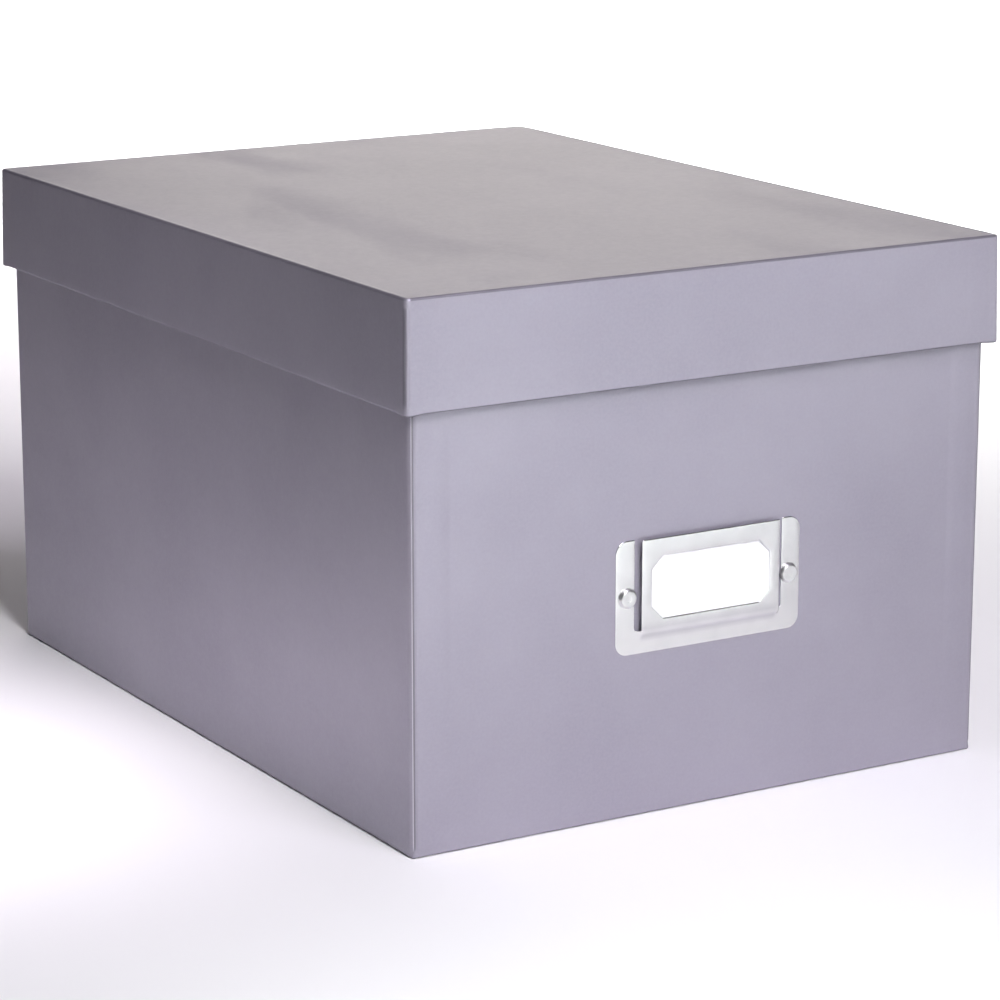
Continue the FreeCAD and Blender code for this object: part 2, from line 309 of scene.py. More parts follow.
def stay_tape():
    """Gummed kraft stay tape."""
    s = Shader("kraft_tape")
    fibre = s.noise(650, 4, 0.65, s.stretched((1.0, 1.0, 0.2)))
    tone = s.mixed(s.ranged(fibre, 0.3, 0.7, 0.0, 1.0), (0.50, 0.36, 0.22, 1), (0.62, 0.47, 0.31, 1))
    s.link(tone, "Base Color")
    s.link(s.ranged(fibre, 0.3, 0.7, 0.7, 0.85), "Roughness")
    s.bump((s.noise(1200, 3), 0.4, 0.015))
    return s.material


def card_stock():
    """Smooth white label card."""
    s = Shader("white_card")
    cloud = s.ranged(s.noise(140, 4), 0.35, 0.65, 0.0, 1.0)
    s.link(s.mixed(cloud, (0.83, 0.83, 0.86, 1), (0.88, 0.88, 0.90, 1)), "Base Color")
    s.link(s.ranged(s.noise(900, 3), 0.3, 0.7, 0.5, 0.62), "Roughness")
    s.bump((s.noise(1600, 3), 0.35, 0.01))
    return s.material


def plated_metal(name, tone, rough_low, rough_high, brush, dents=0.35):
    """Plated steel with a rolled sheet's faint lines and small waves, and painted shade where it is bent.
    """
    s = Shader(name)
    lines = s.noise(1400, 3, 0.6, s.stretched(brush))
    cloud = s.noise(120, 4)
    dark = tuple(c * 0.9 for c in tone)
    plating = s.mixed(s.ranged(cloud, 0.3, 0.7, 0.0, 1.0), (*dark, 1), (*tone, 1))
    shade_amount = s.math("MULTIPLY", s.attribute("painted_slope_shade"), 0.6)
    # painted shade: a grey mixed into the plating where the sheet curves at the panel's foot
    s.link(s.mixed(shade_amount, plating, (0.45, 0.45, 0.47, 1)), "Base Color")
    s.link(s.ranged(lines, 0.3, 0.7, rough_low, rough_high), "Roughness")
    s.set(metallic=1.0)
    s.bump((s.noise(90, 2), dents, 0.03), (lines, dents / 3, 0.006))
    return s.material


def floor_paper():
    """Matt studio backdrop paper."""
    s = Shader("backdrop_paper")
    cloud = s.ranged(s.noise(3, 3), 0.3, 0.7, 0.0, 1.0)
    s.link(s.mixed(cloud, (0.80, 0.80, 0.80, 1), (0.82, 0.82, 0.82, 1)), "Base Color")
    s.set(roughness=0.9)
    return s.material


# ---------------------------------------------------------------- paper over a rectangular box


Station = namedtuple("Station", "side from_corner seam core normal")


class Ring:
    """Stations round a rectangle with rounded corners, anticlockwise from above, closer near corners.

    A station knows its side, its distance from the side's end, its distance past the end papers' cut
    edge (negative on the side papers), its corner or edge point, and its outward direction.
    """

    # Where the mesh's columns stand: from a side's end, round the flap's end, and past the cut edge
    NEAR = (0.0, 0.15, 0.3, 0.45, 0.6, 0.75, 0.95, 1.2, 1.6, 2.1, 2.7, 3.5, 5.0, 7.5, 10.0)
    FLAP = (11.3, 12.0, 12.6, 13.2, 13.9, 15.0)
    SEAM_NEAR = (-0.5, -0.2, -0.05, 0.0, 0.1, 0.2, 0.3, 0.42, 0.6, 0.8, 1.1)
    STEP = 7.0
    ARC_STEPS = 9
    SIDES = (("front", 0, -1), ("right", 1, 0), ("back", 0, 1), ("left", -1, 0))

    def __init__(self, half_w, half_d, radius, seam_angle):
        self.radius = radius
        self.core = (half_w - radius, half_d - radius)
        self.stations = []
        for side, nx, ny in self.SIDES:
            is_end = nx == 0
            half = self.core[0] if is_end else self.core[1]
            for a in self.along(half):
                from_corner = half - abs(a)
                seam = from_corner + radius * seam_angle
                if not is_end:
                    seam = -from_corner - radius * (math.pi / 2 - seam_angle)
                core = (nx - ny * a / half, ny + nx * a / half)
                self.stations.append(Station(side, from_corner, seam, core, (nx, ny)))
            start = math.atan2(ny, nx)
            turns = self.turns(seam_angle)
            for from_end in turns if is_end else reversed(turns):
                angle = start + (from_end if is_end else math.pi / 2 - from_end)
                seam = radius * (seam_angle - from_end)
                normal = (math.cos(angle), math.sin(angle))
                self.stations.append(Station("corner", 0.0, seam, (nx - ny, ny + nx), normal))

    def along(self, half):
        ends = [half - d for d in self.NEAR + self.FLAP]
        middle = ends[-1]
        count = max(1, round(2 * middle / self.STEP))
        inner = [-middle + 2 * middle * k / count for k in range(1, count)]
        return sorted([-e for e in ends] + inner + ends)

    def turns(self, seam_angle):
        """A corner's angles from its end side, even ones and some close to the cut edge."""
        close = [seam_angle - s / self.radius for s in self.SEAM_NEAR]
        even = [math.pi / 2 * k / self.ARC_STEPS for k in range(1, self.ARC_STEPS)]
        apart = math.radians(1.5)
        even = [a for a in even if all(abs(a - b) > apart for b in close)]
        return sorted(a for a in even + close if apart < a < math.pi / 2 - apart)

    def point(self, station, inset, shrink, z):
        """Where a station is at height z, inset from the outside of a rectangle shrunk by shrink."""
        past = max(0.0, inset - self.radius)
        round_r = max(0.0, self.radius - inset)
        x = station.core[0] * (self.core[0] - shrink - past) + station.normal[0] * round_r
        y = station.core[1] * (self.core[1] - shrink - past) + station.normal[1] * round_r
        return Vector((x, y, z))


def arc(cx, cz, radius, start, end, steps):
    """(inset, z) points on an arc. Degrees, 0 towards the inside, 90 up."""
    points = []
    for k in range(steps + 1):
        angle = math.radians(start + (end - start) * k / steps)
        points.append((cx + radius * math.cos(angle), cz + radius * math.sin(angle)))
    return points


def rows(low, high, step):
    """Heights between low and high, both left out."""
    count = max(1, round(abs(high - low) / step))
    return [low + (high - low) * k / count for k in range(1, count)]


def swept(ring, profile, placed, closed=True):
    """Points and faces of a profile carried round a ring.

    The profile is (inset, z, outer), and placed(station, inset, z, outer) gives a point.
    """
    count = len(ring.stations)
    points = []
    for inset, z, outer in profile:
        points += [placed(station, inset, z, outer) for station in ring.stations]
    faces = []
    last = len(profile) if closed else len(profile) - 1
    for row in range(last):
        here, above = row * count, ((row + 1) % len(profile)) * count
        for k in range(count):
            after = (k + 1) % count
            faces.append((here + k, here + after, above + after, above + k))
    return points, faces


def within(low, high, z, blend=1.5):
    """1 between two heights, with a soft end at each."""
    return smooth(low, low + blend, z) * (1 - smooth(high - blend, high, z))


def end_paper(station, step):
    """How far the end papers stand out: a cut edge with a lip and a hollow, up to the flap under it."""
    lap = smooth(0.0, CUT_W, station.seam) * (1 - smooth(FLAP_REACH - 1, FLAP_REACH + 1, station.seam))
    lip = 0.25 * hump(CUT_W + 0.05, 0.14, station.seam) - 0.5 * hump(CUT_W + 0.65, 0.3, station.seam)
    return step * (lap + lip)


def cut_edge(station):
    """1 on the end papers' cut edge, where the pale core shows."""
    return smooth(-0.12, 0.04, station.seam) * (1 - smooth(CUT_W * 0.7, CUT_W * 1.3, station.seam))


def outward(station, distance):
    return Vector((station.normal[0], station.normal[1], 0)) * distance


def tray_wrap():
    low, high = cad_box("tray_wrap")
    lining = cad_box("tray_wall_lining")[1]
    ring = Ring(high.x, high.y, TRAY_CORNER_R, TRAY_SEAM)
    wall = high.x - lining.x  # outside of the paper to the face of the turned-in paper
    foot, rim = low.z, high.z
    outer = [(TURN_UNDER, foot, 0), (TURN_UNDER / 2, foot, 0)]
    outer += [(i, z, 1) for i, z in arc(FOLD_R, foot + FOLD_R, FOLD_R, -90, -180, 8)]
    outer += [(0.0, z, 1) for z in rows(foot + FOLD_R, foot + NEAR_FOLD, FINE_ROW)]
    outer += [(0.0, z, 1) for z in rows(foot + NEAR_FOLD, rim - RIM_R, TRAY_ROW)]
    outer += [(i, z, 1) for i, z in arc(RIM_R, rim - RIM_R, RIM_R, 180, 90, 5)]
    outer += [(i, z, 0) for i, z in arc(wall - RIM_R, rim - RIM_R, RIM_R, 90, 0, 5)]
    outer += [(wall, rim - TURN_IN / 2, 0), (wall, rim - TURN_IN, 0)]
    back = wall - PAPER_T
    inner = [(back, rim - TURN_IN, 0), (back, rim - PAPER_T, 0), (PAPER_T * 2, rim - PAPER_T, 0)]
    inner += [(PAPER_T, rim - RIM_INSIDE, 0), (PAPER_T, foot + FOLD_R, 0)]
    inner += [(PAPER_T + FOLD_R, foot + PAPER_T, 0), (TURN_UNDER, foot + PAPER_T, 0)]
    cut_low, cut_high = foot + 2.2, rim - 2.0
    pull, pull_reach = 0.14, 5.0  # the end papers are drawn in towards a corner
    nib_out, nib_w, nib_top = 0.35, 0.75, 3.2  # the end papers' bottom corners stick out
    pleat_in, pleat_w, pleat_top = 0.2, 0.35, 4.5
    calm_reach = 14.0  # the waves die out towards a corner and the foot

    def placed(station, inset, z, on_outside):
        spot = ring.point(station, inset, 0.0, z)
        if not on_outside:
            return spot
        relief = end_paper(station, TRAY_STEP) * within(cut_low, cut_high, z)
        if station.side in ("front", "back"):
            relief -= pull * (1 - smooth(0.0, pull_reach, station.from_corner))
        calm = smooth(0.0, calm_reach, station.from_corner) * within(foot, rim - 30, z, calm_reach)
        relief += wave(spot.x, spot.y, spot.z) * calm
        nib = hump(0.2, nib_w, station.seam) * (1 - smooth(foot + 0.5, foot + nib_top, z))
        pleat = hump(1.3, pleat_w, station.seam) * (1 - smooth(foot + 1.0, foot + pleat_top, z))
        sag = Vector((0, 0, PAPER_T * nib))
        return spot + outward(station, relief + nib_out * nib - pleat_in * pleat) - sag

    def core(station, z, on_outside):
        return cut_edge(station) * within(cut_low, cut_high, z) if on_outside else 0.0

    def painted_shade(station, z, on_outside):
        # painted shade: a dark line just past the end papers' cut edge, where the groove's shade falls
        beside_cut = 0.85 * hump(CUT_W + 0.32, 0.24, station.seam)
        return beside_cut * within(cut_low, cut_high, z) if on_outside else 0.0

    profile = outer + inner
    points, faces = swept(ring, profile, placed)
    marked = [(station, z, on) for _, z, on in profile for station in ring.stations]
    marks = {"core": [core(*spot) for spot in marked], "painted_shade": [painted_shade(*spot) for spot in marked]}
    return make_piece("tray_covering_paper", points, faces, PAPER, "tray", ["tray_wrap"], marks=marks)


def lid_wrap():
    low, high = cad_box("lid_wrap")
    top_low, top_high = cad_box("lid_top_board")
    ring = Ring(high.x, high.y, LID_CORNER_R, LID_SEAM)
    rim, crown = low.z, high.z
    # How much the lid narrows on each side, per millimetre of height
    flare = (high.x - top_high.x - (PAPER_T + TAPE_T)) / (crown - rim)
    wall = LID_WALL
    ceiling = top_low.z
    outer = [(LID_CORNER_R, crown, 1)]
    outer += [(i, z, 1) for i, z in arc(LID_FOLD_R, crown - LID_FOLD_R, LID_FOLD_R, 90, 180, 8)]
    outer += [(0.0, z, 1) for z in rows(crown - LID_FOLD_R, crown - NEAR_FOLD, FINE_ROW)]
    outer += [(0.0, z, 1) for z in rows(crown - NEAR_FOLD, rim + RIM_R, LID_ROW)]
    outer += [(i, z, 1) for i, z in arc(RIM_R, rim + RIM_R, RIM_R, 180, 270, 5)]
    outer += [(i, z, 2) for i, z in arc(wall - RIM_R, rim + RIM_R, RIM_R, 270, 360, 5)]
    outer += [(wall, rim + TURN_IN, 0), (wall, ceiling, 0)]
    back = wall - PAPER_T
    inner = [(back, ceiling, 0), (back, rim + RIM_INSIDE, 0), (back, rim + PAPER_T, 2)]
    inner += [(PAPER_T * 2, rim + PAPER_T, 2), (PAPER_T, rim + RIM_INSIDE, 0), (PAPER_T, crown - FOLD_R, 0)]
    inner += [(FOLD_R + PAPER_T, crown - PAPER_T, 0)]
    cut_low, cut_high = rim + 2.0, crown - 2.6
    droop_depth, droop_reach = 0.4, 6.0  # the rim hangs lower at its corners
    tuck_depth = 0.15  # the folded paper's lump and hollow under a top corner

    def placed(station, inset, z, on_outside):
        spot = ring.point(station, inset, flare * (z - rim), z)
        if not on_outside:
            return spot
        near = 1 - smooth(-0.2, droop_reach, station.from_corner)
        droop = droop_depth * near * (1 - smooth(rim, rim + 4, z))
        if on_outside == 2:
            return spot - Vector((0, 0, droop))
        relief = end_paper(station, LID_STEP) * within(cut_low, cut_high, z)
        if station.side in ("front", "back"):
            relief -= 0.05 * hump(2.6, 0.4, station.from_corner) * within(cut_low, cut_high, z)
            tuck = hump(1.9, 0.6, crown - z) - hump(3.1, 0.5, crown - z)
            relief += tuck_depth * tuck * hump(0.5, 0.7, station.from_corner)
        calm = smooth(0.0, 14.0, station.from_corner) * within(rim, crown, z, 9)
        relief += wave(spot.x, spot.y, spot.z, 60.0, 0.16) * calm
        return spot + outward(station, relief) - Vector((0, 0, droop + crushed(spot, high)))

    def core(station, z, on_outside):
        return 0.3 * cut_edge(station) * within(cut_low, cut_high, z) if on_outside == 1 else 0.0

    def painted_shade(station, z, on_outside):
        """Painted shade: a band on both sides of the cut edge, a painted shadow line at the rim's fold, and
        a painted dark reflection on the top's folds.
        """
        if on_outside != 1:
            return 0.0
        # painted shade on the corner band beside the cut edge
        corner_shade = 0.5 * within(-2.0, 0.1, station.seam, 0.4) + 0.2 * hump(CUT_W + 0.5, 0.3, station.seam)
        beside_cut = corner_shade * within(cut_low, cut_high, z)
        at_rim = 0.8 * (1 - smooth(rim + RIM_R * 0.4, rim + RIM_R * 0.9, z))
        depth = TOP_FOLD_SHADE if station.side in ("front", "back") else TOP_FOLD_SHADE / 3
        on_top = depth * within(crown - LID_FOLD_R * 0.9, crown, z, LID_FOLD_R * 0.1)
        return beside_cut + at_rim + on_top

    profile = outer + inner
    points, faces = swept(ring, profile, placed, closed=False)
    marked = [(station, z, on) for _, z, on in profile for station in ring.stations]
    marks = {"core": [core(*spot) for spot in marked], "painted_shade": [painted_shade(*spot) for spot in marked]}
    count = len(ring.stations)
    last = tuple(range(len(points) - count, len(points)))
    top_points, top_faces = top_grid(ring, points[:count], high, len(points))
    points += top_points
    faces += top_faces + [last]
    for values in marks.values():
        values += [0.0] * len(top_points)
    return make_piece("lid_covering_paper", points, faces, PAPER, "lid", ["lid_wrap"], marks=marks)


def crushed(spot, high):
    """How far the lid's back right corner is pressed down."""
    depth, reach, height = 0.15, 16.0, 12.0
    away = math.hypot(high.x - spot.x, high.y - spot.y)
    return depth * (1 - smooth(2.0, reach, away)) * smooth(high.z - height, high.z, spot.z)


def top_grid(ring, rim, high, offset):
    """A grid that fills the lid's top inside its first ring of points, and shares that ring's points.

    The top is slightly uneven, never higher than its edge and at most max_dip lower.
    """
    wave_length, wave_height, max_dip = 90.0, 0.12, 0.2
    by_side = {"front": [], "right": [], "back": [], "left": []}
    for index, station in enumerate(ring.stations):
        if station.side in by_side:
            by_side[station.side].append(index)
    front, right = by_side["front"], by_side["right"]
    back, left = by_side["back"][::-1], by_side["left"][::-1]
    points, index_at = [], {}
    for column, (f, b) in enumerate(zip(front, back)):
        for row, (r, l) in enumerate(zip(right, left)):
            if row == 0:
                index_at[column, row] = f
            elif row == len(right) - 1:
                index_at[column, row] = b
            elif column == 0:
                index_at[column, row] = l
            elif column == len(front) - 1:
                index_at[column, row] = r
            else:
                x, y = rim[f].x, rim[r].y
                edge = min(high.x - abs(x), high.y - abs(y))
                uneven = wave(x, y, high.z, wave_length, wave_height) * smooth(3.0, 30.0, edge)
                dip = max(-max_dip, min(0.0, uneven - wave_height / 2))
                spot = Vector((x, y, high.z))
                index_at[column, row] = offset + len(points)
                points.append(Vector((x, y, high.z + dip - crushed(spot, high))))
    faces = []
    for column in range(len(front) - 1):
        for row in range(len(right) - 1):
            corners = ((column, row), (column + 1, row), (column + 1, row + 1), (column, row + 1))
            faces.append(tuple(index_at[corner] for corner in corners))
    return points, faces


# ---------------------------------------------------------------- pressed holder


def rounded_loop(corners):
    """Points of an outline from (x, z, radius) corners, in order. Radius 0 keeps a corner sharp."""
    points = []
    count = len(corners)
    for k, (x, z, radius) in enumerate(corners):
        here = Vector((x, z))
        if radius <= 0:
            points.append(here)
            continue
        into = (here - Vector(corners[k - 1][:2])).normalized()
        out = (Vector(corners[(k + 1) % count][:2]) - here).normalized()
        turn = math.acos(max(-1.0, min(1.0, into.dot(out))))
        reach = radius * math.tan(turn / 2)
        start, end = here - into * reach, here + out * reach
        side = Vector((-into.y, into.x))
        if side.dot(out) < 0:
            side = -side
        centre = start + side * radius
        steps = max(3, round(math.degrees(turn) / 9))
        a0 = math.atan2(start.y - centre.y, start.x - centre.x)
        a1 = math.atan2(end.y - centre.y, end.x - centre.x)
        sweep = (a1 - a0 + math.pi) % (2 * math.pi) - math.pi
        for step in range(steps + 1):
            angle = a0 + sweep * step / steps
            points.append(centre + Vector((math.cos(angle), math.sin(angle))) * radius)
    return points


def divided(points, step):
    """The same closed outline with no edge longer than step."""
    result = []
    for a, b in zip(points, points[1:] + points[:1]):
        count = max(1, math.ceil((b - a).length / step))
        result += [a.lerp(b, k / count) for k in range(count)]
    return result


def inset_loop(points, distance):
    """A closed anticlockwise outline moved into its left side by distance."""
    result = []
    for before, here, after in zip(points[-1:] + points[:-1], points, points[1:] + points[:1]):
        a, b = (here - before).normalized(), (after - here).normalized()
        na, nb = Vector((-a.y, a.x)), Vector((-b.y, b.x))
        result.append(here + (na + nb) * (distance / (1 + na.dot(nb))))
    return result


def press_height(x, z):
    """How far the holder's sheet is pressed out at (x, z)."""
    beside = max(0.0, (abs(x) - PANEL_HALF_W + 0.1) / SIDE_SLOPE)
    below = max(0.0, (PANEL_Z0 - z) / FOOT_SLOPE)
    return PANEL_RAISE * (1 - smooth(0.0, 1.0, math.hypot(beside, below)))


def holder_outline(low, high):
    """The holder's edge, anticlockwise seen from the front, with its two slits."""
    r, half, lip = HOLDER_CORNER_R, high.x, SLIT_LIP_R
    slit_r = (STRIP_INNER - PANEL_HALF_W) * 0.45
    corners = [(-half, low.z, r), (half, low.z, r), (half, high.z, r), (STRIP_INNER, high.z, lip)]
    corners += [(STRIP_INNER, SLIT_Z0, slit_r), (PANEL_HALF_W, SLIT_Z0, slit_r)]
    corners += [(PANEL_HALF_W, high.z, lip), (-PANEL_HALF_W, high.z, lip)]
    corners += [(-PANEL_HALF_W, SLIT_Z0, slit_r), (-STRIP_INNER, SLIT_Z0, slit_r)]
    corners += [(-STRIP_INNER, high.z, lip), (-half, high.z, r)]
    return rounded_loop(corners)


def window_outline():
    """The holder's eight-sided window, clockwise, so that the metal is on its left."""
    half, cut, z0, z1 = WINDOW_HALF_W, WINDOW_CHAMFER, WINDOW_Z0, WINDOW_Z1
    corners = [(-half + cut, z0), (-half, z0 + cut), (-half, z1 - cut), (-half + cut, z1)]
    corners += [(half - cut, z1), (half, z1 - cut), (half, z0 + cut), (half - cut, z0)]
    return rounded_loop([(x, z, WINDOW_CORNER_R) for x, z in corners])


def hole_outline(x, steps=32):
    """A rivet's hole, clockwise."""
    turn = [-2 * math.pi * k / steps for k in range(steps)]
    return [Vector((x + RIVET_HOLE_R * math.cos(a), RIVET_Z + RIVET_HOLE_R * math.sin(a))) for a in turn]


def label_holder():
    """The holder's sheet: a face in front, the same face at the back, and rounded edges between them."""
    low, high = cad_box("label_holder")
    back_y = high.y
    loops = [divided(holder_outline(low, high), OUTLINE_STEP), divided(window_outline(), OUTLINE_STEP)]
    loops += [hole_outline(-RIVET_X), hole_outline(RIVET_X)]
    half_turn = 1 - math.sqrt(0.5)
    steps = [(SHEET_BEVEL, 0.0), (SHEET_BEVEL * half_turn, SHEET_BEVEL * half_turn), (0.0, SHEET_BEVEL)]
    edge = steps + [(inset, SHEET_T - depth) for inset, depth in reversed(steps)]

    def spot(p, depth):
        """A point of the sheet. depth runs from its front face, 0, to its back face."""
        out = SHEET_T - depth + press_height(p.x, p.y) + wave(p.x, 0.0, p.y, 26.0, 0.05)
        return Vector((p.x, back_y - out, p.y))

    inner_loops = [inset_loop(loop, SHEET_BEVEL) for loop in loops]
    flat, edges = [], []
    for loop in inner_loops:
        start = len(flat)
        flat += loop
        edges += [(start + k, start + (k + 1) % len(loop)) for k in range(len(loop))]
    ringed = len(flat)
    flat += filling(inner_loops, low, high, FILL_STEP)
    found, _, triangles, _, _, _ = geometry.delaunay_2d_cdt(flat, edges, [], 0, 1e-5)
    if len(found) != len(flat):
        raise ValueError("the holder's outline crosses itself or has two points in one place")
    triangles = [t if turn_of(*(found[i] for i in t)) > 0 else t[::-1] for t in triangles]
    triangles = [t for t in triangles if height_of(*(found[i] for i in t)) > SLIVER]
    centres = [sum((found[i] for i in t), Vector((0, 0))) / 3 for t in triangles]
    triangles = [t for t, centre in zip(triangles, centres) if in_metal(centre, inner_loops)]
    points = [spot(p, 0.0) for p in found] + [spot(p, SHEET_T) for p in found]
    back = len(found)
    faces = [tuple(t) for t in triangles] + [tuple(back + i for i in reversed(t)) for t in triangles]
    start = 0
    for loop in loops:
        count = len(loop)
        before = list(range(start, start + count))
        for inset, depth in edge[1:-1]:
            here = list(range(len(points), len(points) + count))
            points += [spot(p, depth) for p in inset_loop(loop, inset)]
            faces += banded(before, here)
            before = here
        faces += banded(before, list(range(back + start, back + start + count)))
        start += count
    if start != ringed:
        raise ValueError("the holder's loops don't add up")
    # painted shade along the pressed panel's foot, read by the plating's material
    marks = {"painted_slope_shade": [painted_slope_shade(p.x, p.z) for p in points]}
    stands_for = ["label_holder"]
    return make_piece("label_holder_plate", points, faces, HOLDER, "tray", stands_for, 50, marks)


def painted_slope_shade(x, z):
    """Painted shade on the plating: at the foot of the pressed panel and just under the window."""
    across = 1 - smooth(PANEL_HALF_W - 1.5, PANEL_HALF_W + 0.5, abs(x))
    return across * (hump(PANEL_Z0 - 2.4, 1.3, z) + 0.6 * hump(PANEL_Z0 + 0.8, 1.3, z))


def banded(inside, outside):
    """Faces between two loops with as many points each."""
    after = inside[1:] + inside[:1]
    after_out = outside[1:] + outside[:1]
    return [(a, d, c, b) for a, b, c, d in zip(inside, after, after_out, outside)]


def turn_of(a, b, c):
    """Twice a triangle's area, and negative if its corners run clockwise."""
    return (b - a).cross(c - a)


def height_of(a, b, c):
    """A triangle's smallest height."""
    return turn_of(a, b, c) / max((b - a).length, (c - b).length, (a - c).length)


def crossings(p, loop):
    """How many of a loop's edges a line from p to the right crosses."""
    count = 0
    for a, b in zip(loop, loop[1:] + loop[:1]):
        if (a.y > p.y) != (b.y > p.y) and p.x < a.x + (p.y - a.y) / (b.y - a.y) * (b.x - a.x):
            count += 1
    return count


def in_metal(p, loops):
    """Whether p is inside the holder's outline and outside its holes."""
    return sum(crossings(p, loop) for loop in loops) % 2 == 1


def filling(loops, low, high, step):
    """Points over the holder's faces, finer where the sheet is pressed, and clear of its edges."""
    edge_points = [p for loop in loops for p in loop]
    cells = {}
    for p in edge_points:
        cells.setdefault((round(p.x), round(p.y)), []).append(p)

    def free(p):
        around = [(round(p.x) + dx, round(p.y) + dz) for dx in (-1, 0, 1) for dz in (-1, 0, 1)]
        near = [q for cell in around for q in cells.get(cell, [])]
        return all((p - q).length > FILL_CLEAR for q in near)

    found = []
    z = low.z
    row = 0
    while z < high.z:
        pressed = PANEL_Z0 - FOOT_SLOPE - 0.5 < z < PANEL_Z0 + 0.5
        x = -high.x + (step / 2 if row % 2 else 0.0)
        while x < high.x:
            p = Vector((x, z))
            if free(p) and in_metal(p, loops):
                found.append(p)
            x += step * 0.7 if pressed or FINE_BAND[0] < abs(x) < FINE_BAND[1] else step * 1.6
        z += 0.3 if pressed else step * 1.2
        row += 1
    return found


def circle(radius, out, centre):
    """Points round an axis along Y, at a distance out of the front."""
    points = []
    for k in range(TURNED_STEPS):
        angle = 2 * math.pi * k / TURNED_STEPS
        points.append(centre + Vector((radius * math.cos(angle), -out, radius * math.sin(angle))))
    return points


def lathe(name, profile, centre, material, stands_for):
    """A turned piece. profile is (radius, distance out of the front), and starts and ends on the axis."""
    points, faces = [], []
    rings = []
    for radius, out in profile:
        ring = circle(radius, out, centre) if radius else [centre + Vector((0, -out, 0))]
        rings.append(list(range(len(points), len(points) + len(ring))))
        points += ring
    for inner, outer in zip(rings, rings[1:]):
        for k in range(TURNED_STEPS):
            after = (k + 1) % TURNED_STEPS
            if len(inner) == 1:
                faces.append((inner[0], outer[k], outer[after]))
            elif len(outer) == 1:
                faces.append((inner[after], inner[k], outer[0]))
            else:
                faces.append((inner[after], inner[k], outer[k], outer[after]))
    return make_piece(name, points, faces, material, "tray", stands_for, 60)


def curve_of(cx, cy, radius, start, end, steps=5):
    """(radius, out) points on a small arc. Degrees, 0 away from the axis, 90 outwards."""
    points = []
    for k in range(steps + 1):
        a = math.radians(start + (end - start) * k / steps)
        points.append((cx + radius * math.cos(a), cy + radius * math.sin(a)))
    return points


def rivets_and_washers():
    """Semi-tubular rivets: a flat head with a soft shoulder, a shank, and a tail rolled over a washer."""
    front = cad_box("tray_wrap")[0].y
    for side in ("left", "right"):
        low, high = cad_box(f"rivet_{side}")
        middle = (low + high) / 2
        centre = Vector((middle.x, front, middle.z))
        head_r = (high.x - low.x) / 2
        face, tail = front - low.y, front - high.y
        seat = SHEET_T
        w_low, w_high = cad_box(f"rivet_washer_{side}")
        washer_out, washer_in = front - w_low.y, front - w_high.y
        profile = [(0, face - 0.16), (0.55, face - 0.15)]
        profile += curve_of(1.15, face - 0.1, 0.1, 180, 90, 3)
        profile += curve_of(head_r - 0.95, face - 0.4, 0.4, 90, 25)
        profile += curve_of(head_r - 0.2, seat + 0.28, 0.2, 25, -60)
        profile += [(head_r - 0.35, seat), (SHANK_R, seat), (SHANK_R, washer_in)]
        profile += curve_of(1.95, washer_in - 0.33, 0.33, 70, -20, 4)
        profile += curve_of(1.6, tail + 0.25, 0.25, -40, -90, 3)
        profile += [(TAIL_BORE_R + 0.15, tail + 0.05), (TAIL_BORE_R, tail + 0.4)]
        profile += [(TAIL_BORE_R, tail + 2.4), (0, tail + 2.6)]
        lathe(f"rivet_{side}_turned", profile, centre, RIVET, [f"rivet_{side}"])
        washer_r = (w_high.x - w_low.x) / 2
        ring = curve_of(washer_r - 0.15, washer_out - 0.15, 0.15, 90, 0, 3)
        ring += curve_of(washer_r - 0.15, washer_in + 0.15, 0.15, 0, -90, 3)
        ring += curve_of(RIVET_HOLE_R + 0.1, washer_in + 0.1, 0.1, -90, -180, 3)
        ring += curve_of(RIVET_HOLE_R + 0.1, washer_out - 0.1, 0.1, 180, 90, 3)
        washer(f"rivet_washer_{side}_turned", ring, centre, f"rivet_washer_{side}")


def washer(name, profile, centre, node):
    """A closed turned ring."""
    faces = []
    points = [p for radius, out in profile for p in circle(radius, out, centre)]
    for row in range(len(profile)):
        here, beyond = row * TURNED_STEPS, ((row + 1) % len(profile)) * TURNED_STEPS
        for k in range(TURNED_STEPS):
            after = (k + 1) % TURNED_STEPS
            faces.append((here + after, here + k, beyond + k, beyond + after))
    return make_piece(name, points, faces, WASHER, "tray", [node], 50)


# ---------------------------------------------------------------- sheets


